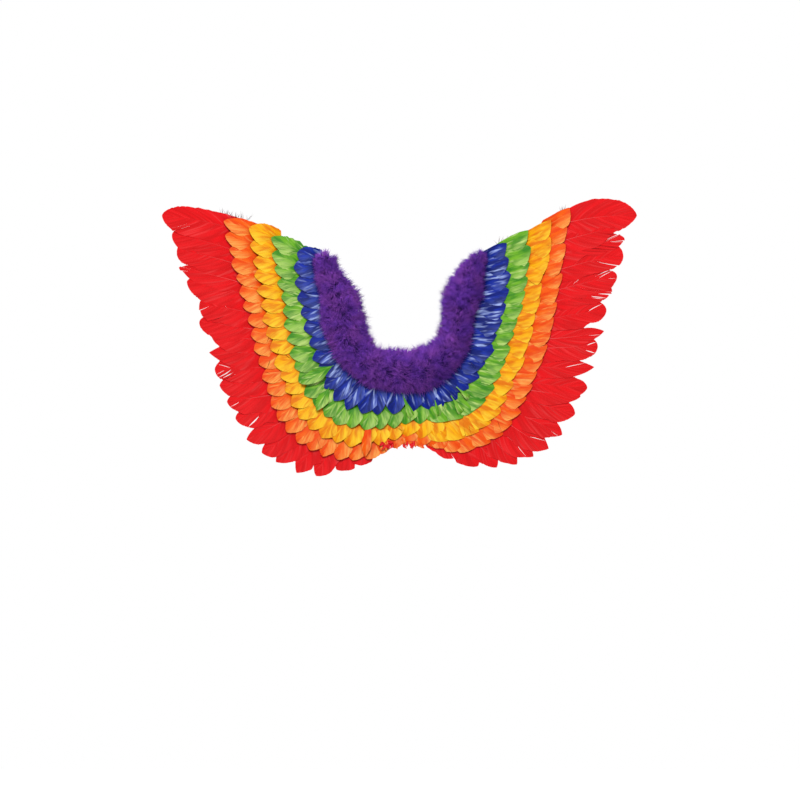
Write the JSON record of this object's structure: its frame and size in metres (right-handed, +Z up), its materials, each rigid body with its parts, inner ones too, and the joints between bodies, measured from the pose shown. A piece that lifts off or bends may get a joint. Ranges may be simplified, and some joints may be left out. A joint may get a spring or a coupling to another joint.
{
  "type": "costume wings",
  "caption": "Feather costume wings: rainbow rows of feathers on a felt U-shaped back panel, with a marabou boa round the neckline and elastic arm loops.",
  "frame": {"origin": "on the wearer's side of the felt panel, in the middle of the back, where it lies against the wearer", "axes": "+X to the wearer's right, +Y the way the wearer faces, +Z up; the feathers are on the -Y side"},
  "size_m": [0.7776, 0.1781, 0.4384],
  "materials": {
    "felt_red": "pressed felt, matt",
    "feather_blue": "dyed feather, silky",
    "feather_green": "dyed feather, silky",
    "feather_yellow": "dyed feather, silky",
    "feather_orange": "dyed feather, silky",
    "feather_red": "dyed feather, silky",
    "marabou_purple": "dyed marabou down, fluffy",
    "elastic_black": "woven elastic tape"
  },
  "bodies": {
    "root": {"backing_panel": "felt_red", "blue_feathers_left": "feather_blue", "blue_feathers_right": "feather_blue", "green_feathers_left": "feather_green", "green_feathers_right": "feather_green", "yellow_feathers_left": "feather_yellow", "yellow_feathers_right": "feather_yellow", "orange_feathers_left": "feather_orange", "orange_feathers_right": "feather_orange", "red_feathers_left": "feather_red", "red_feathers_right": "feather_red", "marabou_trim": "marabou_purple", "arm_loop_left": "elastic_black", "arm_loop_right": "elastic_black"}
  },
  "joints": []
}
